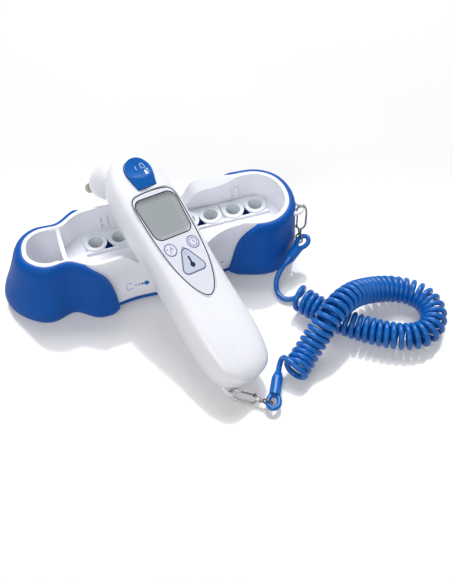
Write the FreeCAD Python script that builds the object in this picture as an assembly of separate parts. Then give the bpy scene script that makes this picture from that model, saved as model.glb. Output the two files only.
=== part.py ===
"""Ear thermometer set: a hand-held thermometer leaning on its storage base, joined to it by a coiled tether.

Millimetres. The origin is at the middle of the set's footprint on the table, +X runs along the base and +Z is up.
"""

import FreeCAD, Part
import math
import os

V = FreeCAD.Vector
UP = V(0, 0, 1)
GAP = 0.12               # clearance between pieces that don't move

os.makedirs("parts", exist_ok=True)


# ---------------------------------------------------------------- small tools

def save(name, *solids):
    shape = solids[0] if len(solids) == 1 else Part.makeCompound(list(solids))
    box = shape.BoundBox
    print("%-22s solids %d valid %s volume %9.1f  x %.1f %.1f  y %.1f %.1f  z %.1f %.1f" % (
        name, len(shape.Solids), shape.isValid(), shape.Volume,
        box.XMin, box.XMax, box.YMin, box.YMax, box.ZMin, box.ZMax))
    shape.exportStep("parts/%s.step" % name)
    return shape


def slab(x0, x1, y0, y1, z0, z1):
    return Part.makeBox(x1 - x0, y1 - y0, z1 - z0, V(x0, y0, z0))


def rod(radius, start, end):
    start = V(start)
    end = V(end)
    return Part.makeCylinder(radius, (end - start).Length, start, end - start)


def closed_spline(points):
    curve = Part.BSplineCurve()
    curve.interpolate(Points=points, PeriodicFlag=True)
    return Part.Wire([curve.toShape()])


def prism(wire, z0, z1):
    """The solid between two heights over a flat closed wire drawn at z = 0."""
    face = Part.Face(wire)
    solid = face.extrude(V(0, 0, z1 - z0))
    solid.translate(V(0, 0, z0))
    return solid


def moved(shape, vector):
    copy = shape.copy()
    copy.translate(V(vector))
    return copy


def rounded_path(points):
    """Straight runs joined by tangent arcs, and the arcs' radii."""
    edges = []
    radii = []
    at = points[0]
    for before, corner, after in zip(points, points[1:], points[2:]):
        back = (before - corner).normalize()
        ahead = (after - corner).normalize()
        half_turn = (math.pi - back.getAngle(ahead)) / 2
        cut = 0.45 * min((before - corner).Length, (after - corner).Length)
        radius = cut / math.tan(half_turn)
        centre = corner + (back + ahead).normalize() * (radius / math.cos(half_turn))
        first = corner + back * cut
        last = corner + ahead * cut
        middle = centre + (corner - centre).normalize() * radius
        edges.append(Part.LineSegment(at, first).toShape())
        edges.append(Part.Arc(first, middle, last).toShape())
        radii.append(radius)
        at = last
    edges.append(Part.LineSegment(at, points[-1]).toShape())
    return Part.Wire(edges), radii


def tube(points, radius, name=None):
    points = [V(p) for p in points]
    path, radii = rounded_path(points)
    start = Part.Wire([Part.Circle(points[0], points[1] - points[0], radius).toShape()])
    solid = path.makePipeShell([start], True, False)
    if name:
        section = math.pi * radius * radius
        print("%s: length %.1f, volume / (section x length) %.4f, arc radii %s" % (
            name, path.Length, solid.Volume / (section * path.Length),
            " ".join("%.1f" % r for r in radii)))
    return solid


# ---------------------------------------------------------------- base: outlines

BASE = V(3.6, 34.4, 0)   # middle of the base's main part
RIM_Z = 45.0             # top of the white tray
LEDGE_Z = 24.0           # shelf that carries the cassettes
TRAY_Z = 7.0             # underside of the white tray
COVER_Z = 3.5            # underside of the bottom cover
WALL = 3.0               # tray wall at the rim
SHELL = 4.0              # blue end caps
FLARE_FROM_Z = 8.0       # the walls spread from the rim down to here

# Along the base: position, half width at the rim (front, then back), how far the blue wall stands out at the foot,
# and how much thicker than WALL the back wall is.
STATIONS = (
    (-88.5, 0.0, 0.0, 16.5, 0.0), (-84.5, 11.5, 11.5, 13.0, 0.0), (-74.0, 17.0, 16.8, 10.4, 0.0),
    (-62.5, 16.4, 16.6, 7.8, 0.0), (-50.0, 23.8, 23.8, 8.6, 0.0), (-30.0, 24.8, 24.8, 7.0, 0.0),
    (18.0, 24.8, 26.0, 7.0, 1.2), (46.5, 18.8, 27.6, 8.0, 4.4), (60.0, 22.8, 25.2, 8.0, 1.4),
    (73.0, 24.0, 24.0, 8.0, 0.0), (86.0, 16.0, 16.0, 6.0, 0.0), (91.0, 0.0, 0.0, 5.0, 0.0),
)


def base_ring(z, extra, flared=True, thick=0.0):
    """The base's outline at a height, `extra` outside the rim's line, as a closed spline."""
    spread = min(1.0, (RIM_Z - z) / (RIM_Z - FLARE_FROM_Z)) if flared else 0.0
    front = [(x, -near, flare) for x, near, far, flare, more in STATIONS]
    rear = [(x, far - more * thick, flare) for x, near, far, flare, more in reversed(STATIONS[1:-1])]
    ring = front + rear
    points = []
    for i, (x, y, flare) in enumerate(ring):
        before = ring[i - 1]
        after = ring[(i + 1) % len(ring)]
        tangent = V(after[0] - before[0], after[1] - before[1], 0).normalize()
        out = V(tangent.y, -tangent.x, 0)
        grow = extra + (flare - SHELL) * spread
        points.append(BASE + V(x, y, z) + out * grow)
    return closed_spline(points)


def base_loft(levels, flared=True, thick=0.0):
    rings = [base_ring(z, extra, flared, thick) for z, extra in levels]
    return Part.makeLoft(rings, True, False)


def base_box(x0, x1, y0, y1, z0, z1):
    return moved(slab(x0, x1, y0, y1, z0, z1), BASE)


# ---------------------------------------------------------------- base: tray

CUP_PITCH = 16.0
CUP_COUNT = 8
CUP_Y = 10.4             # row of probe covers, towards the back
CUP_MIDDLE_X = 16.5
DIVIDER_X = -62.5
DIVIDER = 2.6


def cup_x(i):
    return CUP_MIDDLE_X + (i - (CUP_COUNT - 1) / 2.0) * CUP_PITCH


def scoop(points, side):
    """Cuts the tray's wall down to a curve on one side: side is -1 at the front, 1 at the back."""
    curve = Part.BSplineCurve()
    curve.interpolate([V(x, 0, z) for x, z in points])
    first = points[0]
    last = points[-1]
    top = RIM_Z + 30
    edges = [
        curve.toShape(),
        Part.LineSegment(V(last[0], 0, last[1]), V(last[0], 0, top)).toShape(),
        Part.LineSegment(V(last[0], 0, top), V(first[0], 0, top)).toShape(),
        Part.LineSegment(V(first[0], 0, top), V(first[0], 0, first[1])).toShape(),
    ]
    face = Part.Face(Part.Wire(edges))
    lean = 0.55 if side > 0 else 0.25
    inner_y = 9.0
    face.translate(V(0, side * inner_y, -lean * (STATIONS[5][1] - inner_y)))
    cutter = face.extrude(V(0, side * 30, 30 * lean))
    return moved(cutter, BASE)


FRONT_SCOOP = ((-31, 46.0), (-24, 42.6), (-16, 34.8), (-6, 29.0), (6, 28.2), (18, 30.6), (29, 38.9), (36, 42.2),
               (44, 43.9), (54, 46.0))
BACK_SCOOP = ((-16, 46.0), (-11, 43.0), (-5, 34.0), (2, 29.0), (12, 27.0), (21, 28.0), (27, 32.5), (32, 39.8),
              (38, 43.2), (46, 43.9), (54, 44.8), (62, 46.6))


def tray_outer(extra=0.0, low=TRAY_Z):
    levels = [(low, extra), (20.0, extra), (34.0, extra), (RIM_Z - 1.2, extra), (RIM_Z, extra - 0.7)]
    return base_loft(levels)


def screw_places():
    return [(-53.0, -13.0), (-53.0, 13.0), (12.0, -15.0), (66.0, -14.0)]


def cassette_box(i, grow, z0, z1):
    middle = (cup_x(2 * i) + cup_x(2 * i + 1)) / 2
    half = CUP_PITCH - 0.25 + grow
    return base_box(middle - half, middle + half, CUP_Y - 8.2 - grow, CUP_Y + 8.2 + grow, z0, z1)


def latch(x, y):
    """A raised H on the back wall that a cassette is pressed behind."""
    left = base_box(x - 2.6, x - 1.6, y - 0.6, y + 1.6, LEDGE_Z + 4, LEDGE_Z + 13)
    right = base_box(x + 1.2, x + 3.0, y - 0.9, y + 1.6, LEDGE_Z + 4, LEDGE_Z + 13)
    bar = base_box(x - 2.0, x + 2.0, y - 0.5, y + 1.6, LEDGE_Z + 7.5, LEDGE_Z + 9)
    return [left, right, bar]


def tray_room(inset):
    """The hollow above the shelf."""
    return base_loft([(LEDGE_Z, -WALL - 0.6 - inset), (RIM_Z + 0.2, -WALL - inset)], flared=False, thick=1.0)


def make_tray():
    body = tray_outer()
    room = tray_room(0)
    main = room.common(base_box(DIVIDER_X + DIVIDER / 2, 120, -60, 60, LEDGE_Z, RIM_Z + 0.2))
    deep = base_loft([(10.0, -WALL - 2.0), (16.0, -WALL - 0.8), (RIM_Z + 0.2, -WALL)], flared=False)
    pocket = deep.common(base_box(-120, DIVIDER_X - DIVIDER / 2, -60, 60, 10, RIM_Z + 0.2))
    under = base_loft([(TRAY_Z - 0.2, -0.4), (LEDGE_Z - 2.4, -0.4)], flared=False)
    under = under.common(base_box(DIVIDER_X + 4, 120, -60, 60, TRAY_Z - 0.2, LEDGE_Z - 2.4))
    body = body.cut(main).cut(pocket).cut(under)
    dip = Part.makeCylinder(20.0, 10, V(DIVIDER_X - 5, 0, RIM_Z + 13.5), V(1, 0, 0))
    body = body.cut(moved(dip, BASE))
    body = body.cut(scoop(FRONT_SCOOP, -1)).cut(scoop(BACK_SCOOP, 1))
    for i in range(4):
        body = body.cut(cassette_box(i, -1.4, LEDGE_Z - 3, LEDGE_Z + 0.1))
    body = body.cut(base_box(84.2, 87.2, 1.0, 3.2, 30.0, 36.0))
    for x, y in screw_places():
        at = BASE + V(x, y, 0)
        post = rod(3.4, at + V(0, 0, TRAY_Z), at + V(0, 0, LEDGE_Z - 1))
        body = body.fuse(post)
        body = body.cut(rod(1.3, at + V(0, 0, TRAY_Z - 1), at + V(0, 0, 19)))
    return body


def make_latches():
    solids = []
    for x, y in ((-31.5, 20.4), (59.5, 19.6)):
        left, right, bar = latch(x, y)
        solids.append(left.fuse(bar).fuse(right))
    return solids


# ---------------------------------------------------------------- base: blue parts, feet, screws, eyelet

def blue_outer():
    levels = [(0.6, SHELL - 1.6), (3.5, SHELL - 0.3), (9.0, SHELL), (22.0, SHELL), (36.0, SHELL),
              (41.5, SHELL - 0.35), (43.6, SHELL - 1.4), (44.6, SHELL - 3.0)]
    return base_loft(levels)


def side_region(corners, bend):
    """The region behind a curve drawn in the XZ plane: corners close it, bend is the curved edge."""
    curve = Part.BSplineCurve()
    curve.interpolate([V(x, 0, z) for x, z in bend])
    ends = [bend[-1]] + list(corners) + [bend[0]]
    edges = [curve.toShape()]
    for (x0, z0), (x1, z1) in zip(ends, ends[1:]):
        edges.append(Part.LineSegment(V(x0, 0, z0), V(x1, 0, z1)).toShape())
    face = Part.Face(Part.Wire(edges))
    face.translate(V(0, -80, 0))
    return moved(face.extrude(V(0, 160, 0)), BASE)


def make_end_cap(side):
    if side < 0:
        bend = ((-35.5, 6.0), (-36.2, 16.0), (-38.6, 27.0), (-43.0, 36.5), (-49.0, 42.5), (-56.0, 46.0))
        corners = ((-130, 46.0), (-130, -1), (-42.5, -1))
    else:
        bend = ((42.5, 6.5), (44.0, 13.0), (47.5, 23.0), (52.0, 33.5), (57.0, 40.5), (66.0, 46.0))
        corners = ((130, 46.0), (130, -1), (52.0, -1))
    below = base_loft([(-1.0, GAP), (TRAY_Z + 0.1, GAP)])
    shell = blue_outer().cut(below).cut(tray_outer(GAP))
    return shell.common(side_region(corners, bend))


def make_bottom_cover():
    plate = base_loft([(COVER_Z, -GAP), (TRAY_Z - GAP, -GAP)])
    for x, y in screw_places():
        at = BASE + V(x, y, 0)
        plate = plate.cut(rod(1.7, at, at + V(0, 0, 12)))
        plate = plate.cut(rod(3.3, at, at + V(0, 0, COVER_Z + 1.8)))
    return plate


def make_inner_shelf():
    """The blue sheet under the cassettes that shows through their windows."""
    sheet = base_loft([(LEDGE_Z - 4.6, -3.2), (LEDGE_Z - 3.4, -3.2)], flared=False)
    sheet = sheet.common(base_box(DIVIDER_X + 6, 120, -60, 60, 10, 30))
    for i in range(CUP_COUNT):
        at = BASE + V(cup_x(i), CUP_Y, 0)
        sheet = sheet.cut(rod(CUP_MOUTH_R + 0.3, at, at + V(0, 0, 40)))
    for x, y in screw_places():
        at = BASE + V(x, y, 0)
        sheet = sheet.cut(rod(3.6, at, at + V(0, 0, 40)))
    return sheet


def make_base_screws():
    solids = []
    for x, y in screw_places():
        at = BASE + V(x, y, 0)
        head = rod(3.0, at + V(0, 0, COVER_Z + 0.1), at + V(0, 0, COVER_Z + 1.8))
        shank = rod(1.25, at + V(0, 0, COVER_Z + 1.0), at + V(0, 0, 17))
        cross = slab(-1.6, 1.6, -0.35, 0.35, 0, COVER_Z + 0.9).fuse(slab(-0.35, 0.35, -1.6, 1.6, 0, COVER_Z + 0.9))
        solids.append(head.fuse(shank).cut(moved(cross, at)))
    return solids


def make_base_feet():
    solids = []
    for x, y in ((-70, 0), (-20, 14), (-20, -14), (74, 12), (74, -12)):
        at = BASE + V(x, y, 0)
        solids.append(Part.makeCone(5.2, 6.0, COVER_Z, at, UP))
    return solids


EYELET_WALL = V(89.4, -12.6, 39.5)   # on the right end cap, beside the rim
EYELET_OUT = V(0.93, -0.37, 0).normalize()
EYELET_R = 1.5
EYELET_REACH = 7.9
HANG = BASE + EYELET_WALL + EYELET_OUT * (EYELET_REACH - 0.65)


def make_base_eyelet():
    root = BASE + EYELET_WALL
    along = UP.cross(EYELET_OUT)
    shoulder = EYELET_OUT * (EYELET_REACH - 2.6)
    points = [root + along * 5.0 - EYELET_OUT * 1.5, root + shoulder + along * 4.6, root + EYELET_OUT * EYELET_REACH,
              root + shoulder - along * 4.6, root - along * 5.0 - EYELET_OUT * 1.5]
    loop = tube(points, EYELET_R)
    foot = rod(EYELET_R, root + along * 6.4, root - along * 6.4)
    levels = [(20.0, SHELL + GAP), (36.0, SHELL + GAP), (RIM_Z, SHELL + GAP - 0.3)]
    return loop.fuse(foot).cut(base_loft(levels))


# ---------------------------------------------------------------- base: cassettes and probe covers

COVER_TOP_Z = LEDGE_Z + 2.4
CUP_FLANGE_R = 7.6
CUP_MOUTH_R = 5.4
CUP_TIP_R = 3.7
CUP_LENGTH = 16.4


def make_cassette(i):
    plate = cassette_box(i, 0.0, LEDGE_Z + 0.1, LEDGE_Z + 1.7).common(tray_room(0.3))
    well = cassette_box(i, -2.0, LEDGE_Z - 1.5, LEDGE_Z + 0.6)
    body = plate.fuse(well)
    body = body.cut(cassette_box(i, -3.2, LEDGE_Z - 3, LEDGE_Z + 0.1))
    middle = (cup_x(2 * i) + cup_x(2 * i + 1)) / 2
    for j in (2 * i, 2 * i + 1):
        at = BASE + V(cup_x(j), CUP_Y, 0)
        body = body.cut(rod(CUP_MOUTH_R + 0.5, at, at + V(0, 0, 40)))
    apex = V(middle, CUP_Y + 1.0, 0)
    left = V(middle - 3.6, CUP_Y - 6.9, 0)
    right = V(middle + 3.6, CUP_Y - 6.9, 0)
    window = Part.makePolygon([apex, left, right, apex])
    body = body.cut(moved(prism(window, 5, 40), BASE))
    for end in (-1, 1):
        edge = middle + end * (CUP_PITCH - 0.25)
        tip = V(edge, CUP_Y - 2.2, 0)
        out = V(edge, CUP_Y - 6.0, 0)
        corner = V(edge - end * 2.0, CUP_Y - 6.0, 0)
        notch = Part.makePolygon([tip, out, corner, tip])
        body = body.cut(moved(prism(notch, 5, 40), BASE))
    return body.removeSplitter()


def make_probe_cover(i):
    """A funnel with a flat flange, hung by the flange with its closed tip down."""
    low = COVER_TOP_Z - CUP_LENGTH
    flange_low = COVER_TOP_Z - 0.6
    wall = 0.45
    profile = [V(0, 0, low), V(CUP_TIP_R, 0, low), V(CUP_MOUTH_R, 0, flange_low), V(CUP_FLANGE_R, 0, flange_low),
               V(CUP_FLANGE_R, 0, COVER_TOP_Z), V(CUP_MOUTH_R - wall, 0, COVER_TOP_Z),
               V(CUP_TIP_R - wall, 0, low + 0.3), V(0, 0, low + 0.3), V(0, 0, low)]
    solid = Part.Face(Part.makePolygon(profile)).revolve(V(0, 0, 0), UP, 360)
    return moved(solid, BASE + V(cup_x(i), CUP_Y, 0))


# ---------------------------------------------------------------- handset: place and outlines

# In the handset's own axes x is across, y runs from the tail to the head and z stands out of the face.
FACE_POINT = V(6.8, 6.75, 66.0)
FACE_Y = 105.0
YAW = 16.6
PITCH = 23.4
ROLL = 13.49
SKEW = -1.5
TURN = (FreeCAD.Rotation(UP, YAW) * FreeCAD.Rotation(V(1, 0, 0), PITCH)
        * FreeCAD.Rotation(V(0, 1, 0), ROLL) * FreeCAD.Rotation(UP, SKEW))
PLACE = FreeCAD.Placement(FACE_POINT - TURN.multVec(V(0, FACE_Y, 0)), TURN)

SPLIT_Z = -16.0
SKIN = 2.2

# From tail to head: position, half width, height of the face, depth of the underside.
HAND = (
    (-0.6, 6.0, -8.0, -18.5), (1.3, 11.2, -5.0, -22.6), (5.0, 16.2, -2.5, -27.2), (11.4, 19.2, -0.9, -31.2),
    (24.0, 21.2, -0.1, -33.6), (55.0, 21.2, 0.0, -34.0), (95.0, 21.2, 0.0, -34.0), (128.0, 21.4, 0.0, -33.6),
    (143.0, 19.6, -0.3, -32.6), (153.0, 15.6, -1.0, -30.6), (159.5, 10.6, -2.8, -27.6), (163.2, 5.4, -6.0, -23.5),
)


def hand_section(y, half, top, low):
    depth = top - low
    side = [(0.70, 0.0), (0.93, 0.09), (1.0, 0.27), (0.95, 0.52), (0.76, 0.80), (0.42, 0.965)]
    right = [V(half * across, y, top - depth * down) for across, down in side]
    left = [V(-p.x, p.y, p.z) for p in reversed(right)]
    return closed_spline([V(0, y, top)] + right + [V(0, y, low)] + left)


def hand_loft(inset):
    sections = []
    for y, half, top, low in HAND:
        sections.append(hand_section(y + inset * (1 - 2 * (y - HAND[0][0]) / (HAND[-1][0] - HAND[0][0])),
                                     half - inset, top - inset, low + inset))
    return Part.makeLoft(sections, True, False)


OVERLAY = ((0, 133.2), (9.5, 132.6), (15.2, 130.6), (17.4, 125.0), (17.3, 113.0), (16.6, 98.0), (14.6, 81.0),
           (10.6, 67.5), (5.6, 58.3), (0, 55.0))


def mirrored(points):
    """A closed spline through points on the right and their mirror images on the left."""
    right = [V(x, y, 0) for x, y in points]
    left = [V(-x, y, 0) for x, y in reversed(points[1:-1])]
    return closed_spline(right + left)


def rounded_outline(corners, radius):
    """A closed outline of straight sides with a round corner at each point."""
    edges = []
    starts = []
    ends = []
    count = len(corners)
    for i, (x, y) in enumerate(corners):
        corner = V(x, y, 0)
        back = (V(*corners[i - 1], 0) - corner).normalize()
        ahead = (V(*corners[(i + 1) % count], 0) - corner).normalize()
        half_angle = back.getAngle(ahead) / 2
        cut = radius / math.tan(half_angle)
        centre = corner + (back + ahead).normalize() * (radius / math.sin(half_angle))
        first = corner + back * cut
        last = corner + ahead * cut
        edges.append(Part.Arc(first, centre + (corner - centre).normalize() * radius, last).toShape())
        starts.append(first)
        ends.append(last)
    for i in range(count):
        edges.append(Part.LineSegment(ends[i], starts[(i + 1) % count]).toShape())
    return Part.Wire(Part.__sortEdges__(edges))


def lcd_outline(inset):
    top = 128.2 - inset
    low = 99.4 + inset
    return rounded_outline(((-13.6 + inset, low), (13.6 - inset, low), (15.6 - inset, top), (-15.6 + inset, top)),
                           5.2 - inset)


KEY_R = 4.3
KEY_X = 8.8
KEY_Y = 91.5


def triangle_outline(inset):
    return rounded_outline(((0, 93.6 - 2 * inset), (-10.6 + 1.7 * inset, 72.6 + inset),
                            (10.6 - 1.7 * inset, 72.6 + inset)), 3.3 - inset)


def key_solid(name, inset, z0, z1):
    if name == "scan":
        return prism(triangle_outline(inset), z0, z1)
    x = -KEY_X if name == "unit" else KEY_X
    return rod(KEY_R - inset, V(x, KEY_Y, z0), V(x, KEY_Y, z1))


EJECT_LOW = 135.0
EJECT_WIDE = 145.6
EJECT_TOP = 156.3


def eject_outline(grow):
    low = V(6.7 + grow, EJECT_LOW - grow, 0)
    wide = V(9.1 + grow, EJECT_WIDE, 0)
    crown = V(0, EJECT_TOP + grow, 0)
    mirror_low = V(-low.x, low.y, 0)
    mirror_wide = V(-wide.x, wide.y, 0)
    return Part.Wire([
        Part.LineSegment(mirror_low, low).toShape(), Part.LineSegment(low, wide).toShape(),
        Part.Arc(wide, crown, mirror_wide).toShape(), Part.LineSegment(mirror_wide, mirror_low).toShape()])


# ---------------------------------------------------------------- handset: probe

PROBE_ROOT = V(0, 154.6, -19.4)
PROBE_TILT = 21.5
PROBE_AXIS = V(0, math.sin(math.radians(PROBE_TILT)), -math.cos(math.radians(PROBE_TILT)))
NOZZLE = ((-2.0, 9.0), (2.0, 12.6), (8.0, 13.8), (15.0, 13.3), (22.0, 11.6), (28.0, 9.2), (32.6, 6.2))
NOZZLE_END = 33.4
TIP_END = 45.0
TIP_R = 3.5
SLEEVE_R = 4.5
RUN = 0.08               # running clearance between round moving pieces


def on_axis(s):
    return PROBE_ROOT + PROBE_AXIS * s


def probe_rod(radius, s0, s1):
    return rod(radius, on_axis(s0), on_axis(s1))


def nozzle_solid(grow):
    """Round about the probe's axis, from inside the head to the foot of the metal tip."""
    curve = Part.BSplineCurve()
    curve.interpolate([V(r + grow, 0, s) for s, r in NOZZLE])
    first = NOZZLE[0]
    end_r = 5.0 + grow
    last = V(NOZZLE[-1][1] + grow, 0, NOZZLE[-1][0])
    edges = [curve.toShape(),
             Part.LineSegment(last, V(end_r, 0, NOZZLE_END)).toShape(),
             Part.LineSegment(V(end_r, 0, NOZZLE_END), V(0, 0, NOZZLE_END)).toShape(),
             Part.LineSegment(V(0, 0, NOZZLE_END), V(0, 0, first[0])).toShape(),
             Part.LineSegment(V(0, 0, first[0]), V(first[1] + grow, 0, first[0])).toShape()]
    solid = Part.Face(Part.Wire(edges)).revolve(V(0, 0, 0), UP, 360)
    solid.Placement = FreeCAD.Placement(PROBE_ROOT, FreeCAD.Rotation(UP, PROBE_AXIS))
    return solid


# ---------------------------------------------------------------- handset: shells and what is in them

SCREWS = ((11.0, 69.0, -28.0), (-11.0, 69.0, -28.0), (13.0, 134.5, -25.5), (-13.0, 134.5, -25.5))
DOOR_HALF = 12.5
DOOR_Y = 56.0
DOOR_TAIL_Y = 15.5
DOOR_SLIDE = 10.0
DOOR_Z = -31.9


def make_front_shell():
    body = hand_loft(0).cut(hand_loft(SKIN))
    body = body.common(slab(-60, 60, -30, 200, SPLIT_Z, 40))
    for x, y, seat in SCREWS:
        boss = rod(2.8, V(x, y, SPLIT_Z + 0.1), V(x, y, -1.2)).cut(rod(1.12, V(x, y, SPLIT_Z - 1), V(x, y, -6)))
        body = body.fuse(boss)
    body = body.cut(prism(mirrored(OVERLAY), -0.55, 5))
    body = body.cut(prism(lcd_outline(0), -6, 5))
    for name in ("scan", "unit", "timer"):
        body = body.cut(key_solid(name, -0.2, -6, 5))
    body = body.cut(prism(eject_outline(0.3), -12, 8))
    return body.cut(nozzle_solid(GAP))


def door_zone(grow, slide=0.0):
    """Where the door lies, with a gap round it and room to slide towards the tail."""
    return slab(-DOOR_HALF - grow, DOOR_HALF + grow, DOOR_TAIL_Y - slide, DOOR_Y + grow, -60, DOOR_Z + grow)


def make_rear_shell():
    outer = hand_loft(0)
    body = outer.cut(hand_loft(SKIN)).common(slab(-60, 60, -30, 200, -60, SPLIT_Z - GAP))
    for x, y, seat in SCREWS:
        boss = rod(3.4, V(x, y, -40), V(x, y, SPLIT_Z - GAP)).common(outer)
        body = body.fuse(boss)
        body = body.cut(rod(1.25, V(x, y, -50), V(x, y, SPLIT_Z + 1))).cut(rod(2.35, V(x, y, -50), V(x, y, seat)))
    body = body.cut(door_zone(0.2, DOOR_SLIDE))
    return body.cut(nozzle_solid(GAP))


def make_battery_door():
    door = hand_loft(0).common(door_zone(0.0))
    grips = [slab(-7, 7, 44 + 2.4 * i, 45.2 + 2.4 * i, -40, -33.45) for i in range(4)]
    for grip in grips:
        door = door.cut(grip)
    return door


def make_handset_screws():
    solids = []
    for x, y, seat in SCREWS:
        head = rod(2.1, V(x, y, seat - 1.6), V(x, y, seat))
        shank = rod(1.1, V(x, y, seat - 0.2), V(x, y, -7))
        solids.append(head.fuse(shank))
    return solids


def make_overlay():
    plate = prism(mirrored(OVERLAY), -0.5, 0.05)
    inner = mirrored([(x - 0.15 if x else 0, y) for x, y in OVERLAY])
    plate = plate.common(prism(inner, -1, 1)).cut(prism(lcd_outline(0), -1, 1))
    for name in ("scan", "unit", "timer"):
        plate = plate.cut(key_solid(name, -0.2, -1, 1))
    return plate


def make_circuit_board():
    board = slab(-15.4, 15.4, 66, 131, -9.6, -8.0)
    for x, y, seat in SCREWS[:2]:
        board = board.cut(rod(3.1, V(x, y, -12), V(x, y, -6)))
    for x, y, seat in SCREWS[2:]:
        board = board.cut(rod(3.1, V(x, y, -12), V(x, y, -6)))
    return board


def make_board_parts():
    main_chip = slab(-5, 5, 84, 94, -11.2, -9.6)
    memory = slab(7, 12, 100, 106, -10.8, -9.6)
    crystal = slab(-11, -7.5, 100, 108, -11.6, -9.6)
    return [main_chip, memory, crystal]


CELL_R = 5.25
CELL_L = 44.5
CELL_Y = 18.5
CELL_Z = -15.6


def make_cells():
    solids = []
    for x in (-10.65, 0.0, 10.65):
        can = rod(CELL_R, V(x, CELL_Y, CELL_Z), V(x, CELL_Y + CELL_L - 1, CELL_Z))
        cap = rod(1.8, V(x, CELL_Y + CELL_L - 1.5, CELL_Z), V(x, CELL_Y + CELL_L, CELL_Z))
        solids.append(can.fuse(cap))
    return solids


def make_contacts():
    tail = slab(-14.6, 14.6, CELL_Y - 0.6, CELL_Y, CELL_Z - 4, CELL_Z + 4)
    head = slab(-14.6, 14.6, CELL_Y + CELL_L, CELL_Y + CELL_L + 0.6, CELL_Z - 4, CELL_Z + 4)
    return [tail, head]


EJECT_TRAVEL = 2.2


def make_eject_button():
    """A thumb key with a dished top that is highest along its lower edge."""
    body = prism(eject_outline(0), -6.5, 3.2)
    slope = Part.makeCylinder(42, 40, V(-20, 152.0, 43.6), V(1, 0, 0))
    body = body.cut(slope)
    crown = Part.makeSphere(34.0, V(0, EJECT_WIDE, -30.6))
    return body.common(crown)


def make_eject_spring():
    return rod(2.6, V(0, 146, -12.4), V(0, 146, -6.5 - GAP)).cut(rod(1.9, V(0, 146, -14), V(0, 146, -4)))


def make_eject_guide():
    shelf = slab(-8, 8, 139, 152, -14.0, -12.4 - 0.02)
    return shelf


def make_nozzle():
    body = nozzle_solid(0)
    body = body.cut(probe_rod(8.0, -4, 18)).cut(probe_rod(SLEEVE_R + RUN, 16, 40))
    outside = body.cut(slab(-60, 60, -30, 200, -9.5, 60))
    return outside.cut(slab(-15.5, 15.5, 60, 140, -60, 0))


def make_ejector_sleeve():
    return probe_rod(SLEEVE_R, 20, NOZZLE_END + 0.8).cut(probe_rod(TIP_R + RUN, 18, 40))


def make_probe_tip():
    body = probe_rod(TIP_R, 17.9, TIP_END)
    ring = probe_rod(TIP_R + 0.1, TIP_END - 5.2, TIP_END - 4.2).cut(probe_rod(TIP_R - 0.5, 30, 50))
    body = body.cut(ring)
    body = body.cut(probe_rod(2.7, 24, TIP_END - 0.5)).cut(probe_rod(2.2, 30, TIP_END + 1))
    return body


def make_sensor():
    return probe_rod(2.6, TIP_END - 6.0, TIP_END - 1.0)


def make_sensor_window():
    return probe_rod(2.15, TIP_END - 0.9, TIP_END - 0.2)


def make_sensor_holder():
    body = probe_rod(6.5, 6, 17.9).cut(probe_rod(2.2, 4, 20))
    return body


HAND_EYELET = V(-7.0, 3.8, -24.2)


def make_handset_eyelet():
    at = HAND_EYELET
    points = [at + V(-3.9, 1.8, 0), at + V(-3.7, -3.0, -0.6), at + V(0, -6.4, -0.9), at + V(3.7, -3.2, -0.6),
              at + V(3.9, 1.8, 0)]
    return tube(points, 1.3).cut(hand_loft(-GAP))


# ---------------------------------------------------------------- tether

CORD_R = 1.8
COIL_R = 9.0
LOOP_CORD_R = 1.6
LOOP = ((1.9, 0.0), (3.6, 3.2), (3.4, 7.4), (0.0, 9.8), (-3.4, 7.4), (-3.6, 3.2), (-1.9, 0.0))

# The coil's middle line, from the handset's end to the base's end.
COIL_ROUTE = (
    (57.3, -83.3, 9.4), (65.5, -75.8, 9.6), (76.5, -68.4, 16.5), (88.6, -61.4, 28.4), (105.0, -51.3, 28.6),
    (123.4, -42.5, 17.2), (143.4, -40.9, 9.4), (158.4, -51.5, 9.3), (161.4, -67.1, 9.3), (151.8, -81.1, 9.3),
    (135.8, -81.3, 9.3), (116.0, -69.7, 9.3), (97.4, -52.7, 9.3), (86.4, -36.7, 9.3), (76.4, -20.6, 9.3),
)
HANDSET_LEAD = (
    (49.5, -77.1, 6.5), (51.8, -72.6, 6.8), (54.2, -71.6, 12.4), (54.8, -76.6, 15.8), (57.6, -82.6, 16.2),
)
BASE_LEAD = (
    (81.2, -2.1, 13.1), (77.0, -4.7, 11.5), (73.0, -8.0, 5.6), (71.4, -13.6, 2.4), (72.0, -19.4, 2.1),
    (75.6, -23.6, 2.2), (80.4, -25.0, 2.8),
)
HANDSET_SLEEVE = (V(41.3, -92.9, 5.6), V(49.4, -77.3, 6.5))
BASE_SLEEVE = (V(93.6, 5.6, 17.9), V(81.2, -2.1, 13.1))
SLEEVE_OUT_R = 3.6


def cord_loop(sleeve):
    """The cord's folded end: a loop in line with its sleeve."""
    start, end = sleeve
    out = (start - end).normalize()
    side = out.cross(UP).normalize()
    return tube([start + side * x + out * y for x, y in LOOP], LOOP_CORD_R)


def make_sleeve(sleeve):
    start, end = sleeve
    along = (end - start).normalize()
    body = rod(SLEEVE_OUT_R, start, end)
    taper = Part.makeCone(SLEEVE_OUT_R + 0.1, CORD_R + 0.1, 5.5, end - along * 5.5, along)
    return rod(SLEEVE_OUT_R, start, end - along * 5.5).fuse(taper.common(body))


# ---------------------------------------------------------------- snap hooks

WIRE_R = 0.75
GATE_R = 0.55
RING_R = 2.9
RING_WIRE_R = 0.55
NECK = 6.4               # from the hook's foot to the middle of the swivel's ring


def loop_leg(sleeve, sign):
    """Middle and direction of one leg of a cord loop, where the swivel's ring goes round it."""
    start, end = sleeve
    out = (start - end).normalize()
    side = out.cross(UP).normalize()
    return start + out * 5.4 + side * (3.5 * sign), out


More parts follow.
